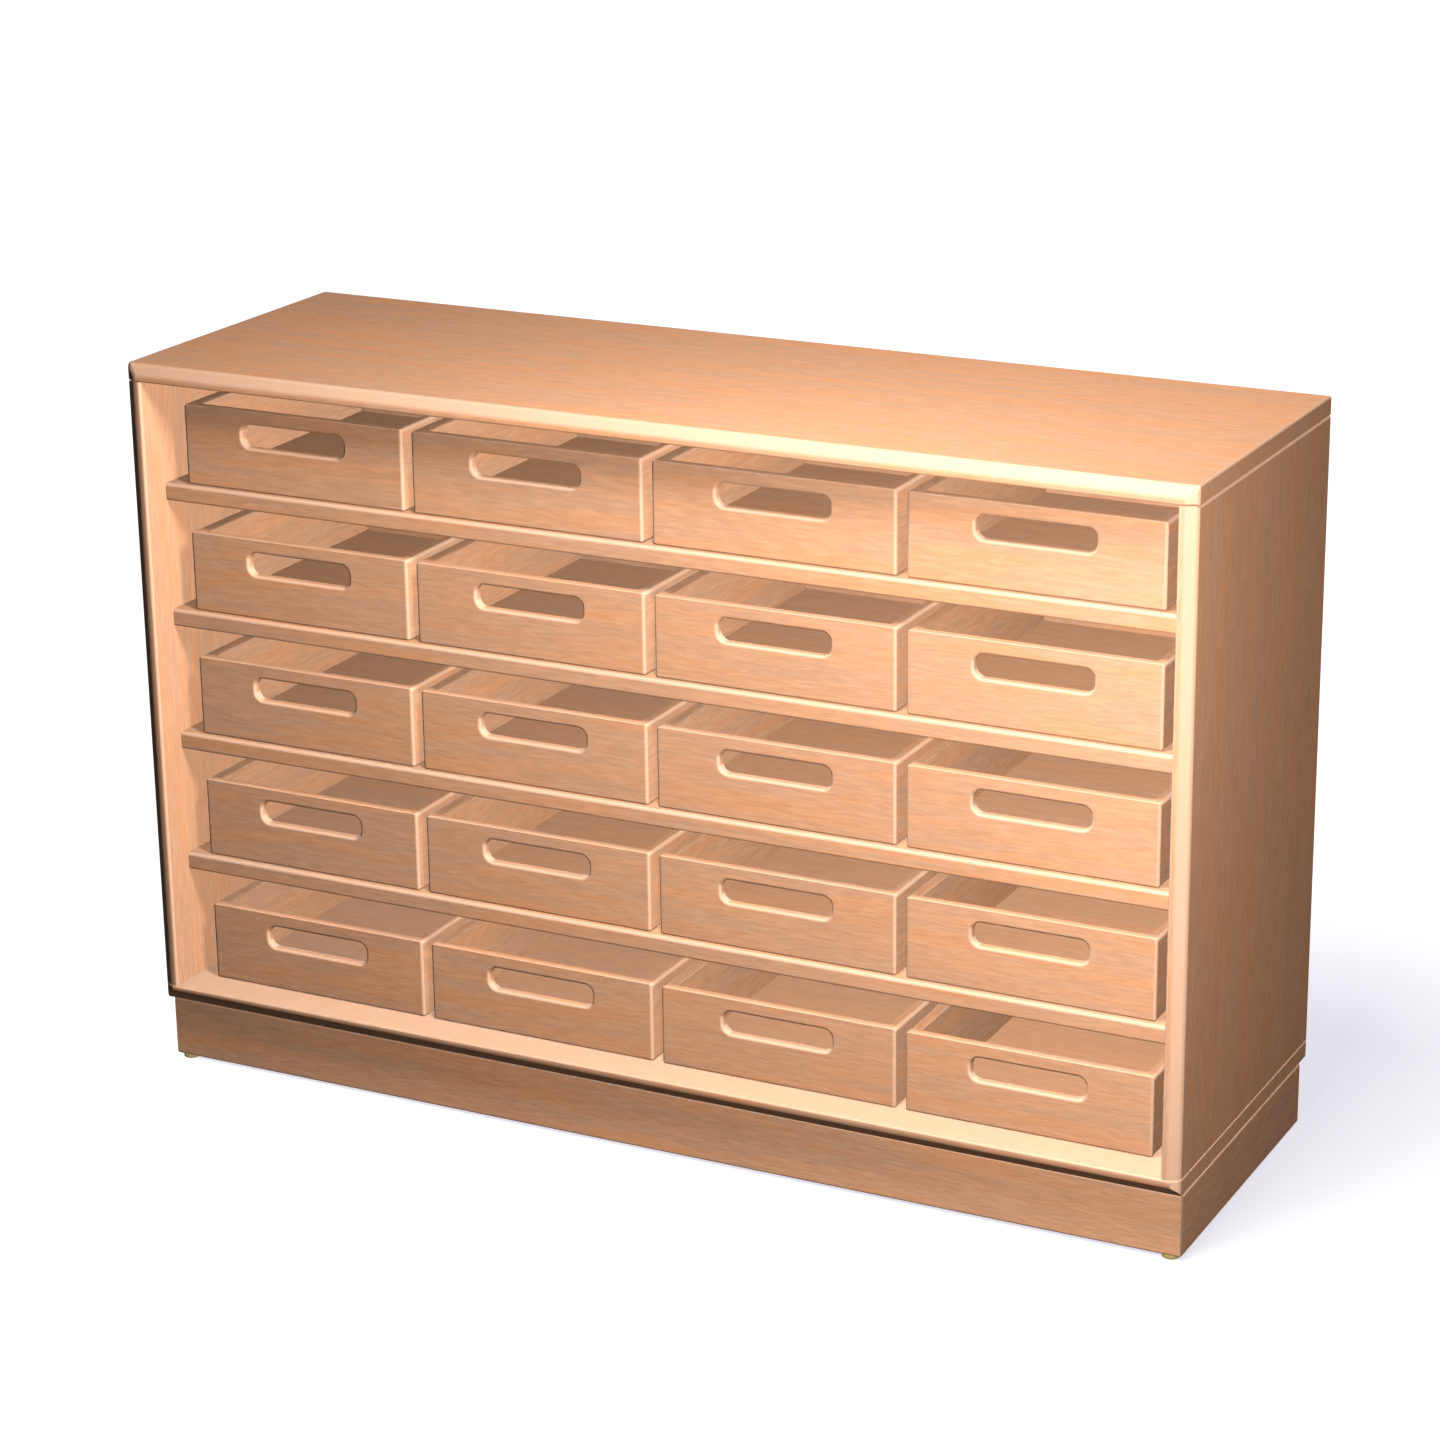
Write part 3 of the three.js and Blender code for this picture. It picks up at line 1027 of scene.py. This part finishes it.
@dataclass
class Plinth:
    """The mitred rails, the cross rails and the glides."""

    workshop: Workshop
    cross_rails: int = 2
    board: float = 19 * MM
    arris: float = 2.5 * MM
    shoulder: float = 5 * MM
    glue_gap: float = 0.2 * MM
    cross_arris: float = 0.5 * MM
    glide_edge: float = 1 * MM
    glide_pin: float = 2 * MM
    glide_sides: int = 48
    glide_edge_steps: int = 5
    glide_arris: float = 0.2 * MM
    glide_arris_steps: int = 2
    glide_slot: str = "glide_nylon"

    def build(self) -> None:
        """Make every piece."""
        for rail in Rail:
            self.rail(rail)
        for number in range(1, self.cross_rails + 1):
            self.cross_rail(f"plinth_cross_{number}")
        self.glide_set()

    def rail(self, rail: Rail) -> None:
        """Make one outer rail, mitred at both ends.

        Args:
            rail: which rail.
        """
        node = f"plinth_{rail.name.lower()}"
        low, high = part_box(node)
        grain = Grain.ALONG_X if rail in (Rail.FRONT, Rail.BACK) else Grain.ALONG_Y
        along, across, _ = grain.value
        half = high[along]
        face = max(-low[across], high[across])
        right_half = [(half, -face), (half - self.board, -face + self.board)]
        plan = right_half + [(-x, y) for x, y in reversed(right_half)]
        turn = rail.value * math.pi / 2
        turned = [
            (x * math.cos(turn) - y * math.sin(turn), x * math.sin(turn) + y * math.cos(turn))
            for x, y in plan
        ]
        outward = (round(math.sin(turn)), -round(math.cos(turn)))
        shell = Shell(node)
        shell.block([ring(turned, low.z), ring(turned, high.z)])

        def radius(edge: bmesh.types.BMEdge) -> float:
            """Round the outer edge at the top, and break the one at the bottom.

            Args:
                edge: an edge of the rail.

            Returns:
                Its radius.
            """
            *looks, rise = signs(edge)
            if tuple(looks) != outward or not rise:
                return 0.0
            return self.shoulder if rise > 0 else self.arris

        self.workshop.case_board(node, shell.eased(radius), grain)

    def cross_rail(self, node: str) -> None:
        """Make one rail between the front and the back rail."""
        mesh = boxed(node, *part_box(node), lambda edge: self.cross_arris)
        self.workshop.case_board(node, mesh, Grain.ALONG_Y)

    def glide_set(self) -> None:
        """Make a glide for each corner."""
        for corner in Corner:
            node = f"glide_{corner.name.lower()}"
            low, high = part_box(node)
            middle = (low + high) / 2
            radius = (high.x - low.x) / 2
            mesh = self.glide(radius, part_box("plinth_front")[0].z - self.glue_gap, high.z)
            place = (middle.x, middle.y, 0.0)
            piece = self.workshop.copy(f"{node}_nylon", mesh, self.workshop.nylon, place)
            hand_in(piece, node, CASE_BODY, self.glide_slot)

    def glide(self, radius: float, height: float, top: float) -> bpy.types.Mesh:
        """Turn a glide: a disc with a rounded lower edge, and the pin that goes into the rail.

        Args:
            radius: of the disc.
            height: of the disc.
            top: the pin's upper end.

        Returns:
            The mesh, standing at the origin.
        """
        steps = [step / self.glide_edge_steps * math.pi / 2 for step in range(self.glide_edge_steps + 1)]
        edge = [
            (radius - self.glide_edge * (1 - math.sin(angle)), self.glide_edge * (1 - math.cos(angle)))
            for angle in steps
        ]
        profile = [*edge, (radius, height), (self.glide_pin, height), (self.glide_pin, top)]
        turns = [side / self.glide_sides * math.tau for side in range(self.glide_sides)]
        rings = [[(r * math.cos(a), r * math.sin(a), z) for a in turns] for r, z in profile]
        shell = Shell("glide")
        shell.block(rings)

        def arris(edge: bmesh.types.BMEdge) -> float:
            """Break the edges between the disc, the pin and their flat ends."""
            return self.glide_arris if edge.calc_face_angle() > SHARP_BEND else 0.0

        return shell.eased(arris, self.glide_arris_steps)


# The trays


@dataclass
class Tray:
    """A loose tray: four glued walls with a grip slot in the front, and a base let into them."""

    workshop: Workshop
    rows: int = 5
    columns: int = 4
    wall: float = 12 * MM
    foot_round: float = 2.5 * MM
    corner_round: float = 3 * MM
    rim_round: float = 4 * MM
    inner_round: float = 3 * MM
    groove: float = 5 * MM
    groove_low: float = 2 * MM
    groove_high: float = 6.3 * MM
    slot_width: float = 126 * MM
    slot_height: float = 25 * MM
    slot_drop: float = 15 * MM
    slot_corner: float = 10 * MM
    slot_round: float = 3.5 * MM
    slot_steps: int = 8
    base_arris: float = 0.3 * MM
    edge_steps: int = 3
    slot: str = "tray_beech"
    base_slot: str = "tray_base_ply"

    def build(self) -> None:
        """Make the tray's two patterns, and copy them to every place."""
        box_low, box_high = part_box("tray_r1c1_box")
        base_low, base_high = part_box("tray_r1c1_base")
        box = self.box(box_high - box_low)
        base = boxed("tray_base", base_low - box_low, base_high - box_low, lambda edge: self.base_arris)
        lay_grain(base, one_way(Grain.ALONG_X))
        for row in range(1, self.rows + 1):
            for column in range(1, self.columns + 1):
                self.place(f"tray_r{row}c{column}", box, base)

    def place(self, body: str, box: bpy.types.Mesh, base: bpy.types.Mesh) -> None:
        """Put one tray into the case.

        Args:
            body: the tray's body.
            box: the pattern of its walls.
            base: the pattern of its base.
        """
        corner = tuple(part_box(f"{body}_box")[0])
        walls = self.workshop.copy(f"{body}_walls_beech", box.copy(), self.workshop.beech, corner)
        hand_in(walls, f"{body}_box", body, self.slot)
        floor = self.workshop.copy(f"{body}_base_panel", base.copy(), self.workshop.ply, corner)
        hand_in(floor, f"{body}_base", body, self.base_slot)

    def box(self, size: Vector) -> bpy.types.Mesh:
        """Make the walls, with the lower left front corner at the origin.

        Args:
            size: the tray's width, depth and height.

        Returns:
            The mesh, with the front's and the back's grain along X and the sides' along Y.
        """
        shell = Shell("tray_box")
        outer = rectangle((0, 0), (size.x, size.y))
        well = rectangle((self.wall,) * 2, (size.x - self.wall, size.y - self.wall))
        inset = self.wall - self.groove
        groove = rectangle((inset,) * 2, (size.x - inset, size.y - inset))
        shell.walls(
            [
                ring(outer, 0),
                ring(well, 0),
                ring(well, self.groove_low),
                ring(groove, self.groove_low),
                ring(groove, self.groove_high),
                ring(well, self.groove_high),
            ]
        )
        shell.walls([ring(outer, size.z), ring(well, size.z)])
        self._upright_walls(shell, outer, 0, size.z)
        self._upright_walls(shell, well, self.groove_high, size.z)
        slot = self._slot_outline(size)
        self._slotted(shell, [outer[0][0], outer[1][0]], 0, [0, size.z], slot)
        self._slotted(shell, [well[0][0], well[1][0]], self.wall, [self.groove_high, size.z], slot)
        shell.walls([[(x, depth, z) for x, z in slot] for depth in (0, self.wall)])

        def radius(edge: bmesh.types.BMEdge) -> float:
            """Round the outer edges, the inner rim and the slot's edges.

            Args:
                edge: an edge of the walls.

            Returns:
                Its radius.
            """
            if edge.calc_face_angle() < GENTLE_BEND:
                return 0.0
            if on_box(edge, Vector(), size):
                return (self.corner_round, self.rim_round, self.foot_round)[signs(edge)[2]]
            middle = (edge.verts[0].co + edge.verts[1].co) / 2
            if abs(middle.z - size.z) < TOUCH:
                return self.inner_round
            in_slot = abs(middle.x - size.x / 2) <= self.slot_width / 2 + TOUCH
            above = middle.z > size.z - self.slot_drop - self.slot_height - TOUCH
            on_face = min(abs(middle.y), abs(middle.y - self.wall)) < TOUCH
            return self.slot_round if in_slot and above and on_face else 0.0

        mesh = shell.eased(radius, self.edge_steps)

        def run(middles: np.ndarray) -> np.ndarray:
            """Tell the front and the back from the sides."""
            ends = (middles[:, 1] < self.wall) | (middles[:, 1] > size.y - self.wall)
            return np.where(ends[:, None], Grain.ALONG_X.value, Grain.ALONG_Y.value)

        lay_grain(mesh, run)
        return mesh

    @staticmethod
    def _upright_walls(shell: Shell, plan: list[PlanPoint], low: float, high: float) -> None:
        """Add the right, back and left faces of a rectangular wall, but not its front."""
        for start, stop in pairwise([*plan[1:], plan[0]]):
            shell.face([(*start, low), (*stop, low), (*stop, high), (*start, high)])

    def _slot_outline(self, size: Vector) -> list[PlanPoint]:
        """Lay the slot out on the front.

        Args:
            size: the tray's width, depth and height.

        Returns:
            The outline as X and Z, from the middle of its lower left corner's arc.
        """
        reach = self.slot_corner
        half = self.slot_width / 2 - reach
        top = size.z - self.slot_drop - reach
        bottom = size.z - self.slot_drop - self.slot_height + reach
        middle = size.x / 2
        points = []
        for quarter, (x, z) in enumerate(rectangle((middle - half, bottom), (middle + half, top))):
            for step in range(self.slot_steps + 1):
                angle = (quarter + 2 + step / self.slot_steps) * math.pi / 2
                points.append((x + reach * math.cos(angle), z + reach * math.sin(angle)))
        half_arc = self.slot_steps // 2
        return points[half_arc:] + points[:half_arc]

    def _slotted(
        self, shell: Shell, ends: list[float], depth: float, levels: list[float], slot: list[PlanPoint]
    ) -> None:
        """Add an upright face with the slot in it, as four faces that meet on its diagonals.

        Args:
            shell: the shell that gets the faces.
            ends: the face's left and right ends.
            depth: the face's Y.
            levels: the face's lower and upper edges.
            slot: the slot's outline, which starts in the middle of its lower left arc.
        """
        corners = rectangle((ends[0], levels[0]), (ends[1], levels[1]))
        quarter = len(slot) // 4
        closed = [*slot, slot[0]]
        for i, corner in enumerate(corners):
            following = corners[(i + 1) % 4]
            edge = closed[i * quarter : (i + 1) * quarter + 1]
            shell.face([(x, depth, z) for x, z in [corner, following, *reversed(edge)]])


# The studio


@dataclass(frozen=True)
class Lamp:
    """A round lamp, whose light isn't passed on from surface to surface."""

    name: str
    place: Point
    watts: float
    radius: float
    shadow: bool
    falloff: Falloff = Falloff.NATURAL

    def hang(self) -> bpy.types.Object:
        """Put the lamp into the scene.

        Returns:
            The lamp as an object.
        """
        data = bpy.data.lights.new(self.name, "POINT")
        data.energy = self.watts
        data.shadow_soft_size = self.radius
        data.use_shadow = self.shadow
        data.cycles.max_bounces = 0
        bench = Bench.of(data)
        strength = bench.node("ShaderNodeLightFalloff", {}, {"Strength": 1.0}, self.falloff.value)
        glow = bench.node("ShaderNodeEmission", {}, {"Strength": strength})
        bench.node("ShaderNodeOutputLight", {}, {"Surface": glow})
        lamp = bpy.data.objects.new(self.name, data)
        lamp.location = self.place
        lamp.visible_camera = False
        bpy.context.scene.collection.objects.link(lamp)
        return lamp


@dataclass
class Studio:
    """A pale floor, soft light and the camera."""

    floor_half: float = 12.0
    floor_drop: float = 0.2 * MM
    ambient: float = 0.02
    lamps: tuple[Lamp, ...] = (
        Lamp("high_key", (0.24, -0.52, 1.30), watts=33.0, radius=0.12, shadow=True, falloff=Falloff.SLOW),
        Lamp("front_key", (0.85, -0.85, 0.80), watts=49.0, radius=0.10, shadow=False, falloff=Falloff.SLOW),
        Lamp("top_key", (0.61, -0.18, 1.81), watts=23.6, radius=0.10, shadow=False, falloff=Falloff.SLOW),
        Lamp("back_fill", (-1.6, 1.8, 0.05), watts=150.0, radius=0.40, shadow=False),
    )
    sun_strength: float = 2.0
    sun_turn: Point = (math.radians(36), 0.0, math.radians(-24))
    sun_softness: float = math.radians(36)
    camera_place: Point = (1.75354, -3.40043, 1.72229)
    camera_turn: Point = (1.24455, 0.00569, 0.45025)
    lens_mm: float = 95.0
    sensor_mm: float = 36.0
    camera_shift: float = -0.0597

    def build(self) -> None:
        """Make the floor, the lamps, the world and the camera."""
        bpy.context.scene.view_settings.view_transform = "Standard"
        floor = self._floor()
        self._world()
        self._limit(self._sun(), floor, Reach.FLOOR_ALONE)
        for lamp in self.lamps:
            self._limit(lamp.hang(), floor, Reach.ALL_BUT_FLOOR)
        self._camera()

    @staticmethod
    def _limit(lamp: bpy.types.Object, floor: bpy.types.Object, reach: Reach) -> None:
        """Let a lamp light the floor alone, or everything but the floor.

        Args:
            lamp: the lamp.
            floor: the floor.
            reach: what it lights.
        """
        lit = bpy.data.collections.new(f"{lamp.name}_lights")
        lit.objects.link(floor)
        lit.collection_objects[0].light_linking.link_state = reach.value
        lamp.light_linking.receiver_collection = lit

    def _floor(self) -> bpy.types.Object:
        """Lay the floor just under the glides.

        Returns:
            The floor.
        """
        plan = rectangle((-self.floor_half,) * 2, (self.floor_half,) * 2)
        mesh = bpy.data.meshes.new("studio_floor")
        mesh.from_pydata(ring(plan, -self.floor_drop), [], [range(len(plan))])
        mesh.materials.append(FLOOR_FINISH.material())
        floor = linked("studio_floor", mesh)
        return floor

    def _world(self) -> None:
        """Make a world that looks white and lights the object weakly."""
        world = bpy.data.worlds.new("studio_world")
        bench = Bench.of(world)
        weak = bench.node("ShaderNodeBackground", {}, {"Strength": self.ambient})
        white = bench.node("ShaderNodeBackground", {}, {"Color": (1.0, 1.0, 1.0, 1.0)})
        both = bench.node("ShaderNodeMixShader", {}, {0: seen_rays(bench), 1: weak, 2: white})
        bench.node("ShaderNodeOutputWorld", {}, {"Surface": both})
        bpy.context.scene.world = world

    def _sun(self) -> bpy.types.Object:
        """Hang the wide high light that lays the soft shadow on the floor.

        Returns:
            The light as an object.
        """
        data = bpy.data.lights.new("sky_light", "SUN")
        data.energy = self.sun_strength
        data.angle = self.sun_softness
        sun = bpy.data.objects.new("sky_light", data)
        sun.rotation_euler = self.sun_turn
        bpy.context.scene.collection.objects.link(sun)
        return sun

    def _camera(self) -> None:
        """Set the camera up."""
        data = bpy.data.cameras.new("camera")
        data.lens = self.lens_mm
        data.sensor_width = self.sensor_mm
        data.shift_x = self.camera_shift
        camera = bpy.data.objects.new("camera", data)
        camera.location = self.camera_place
        camera.rotation_euler = self.camera_turn
        bpy.context.scene.collection.objects.link(camera)
        bpy.context.scene.camera = camera


def main() -> None:
    """Build the studio and the object."""
    logging.basicConfig(level=logging.INFO, format="%(message)s")
    Studio().build()
    workshop = Workshop()
    Case(workshop).build()
    Plinth(workshop).build()
    Tray(workshop).build()


if __name__ == "__main__":
    main()
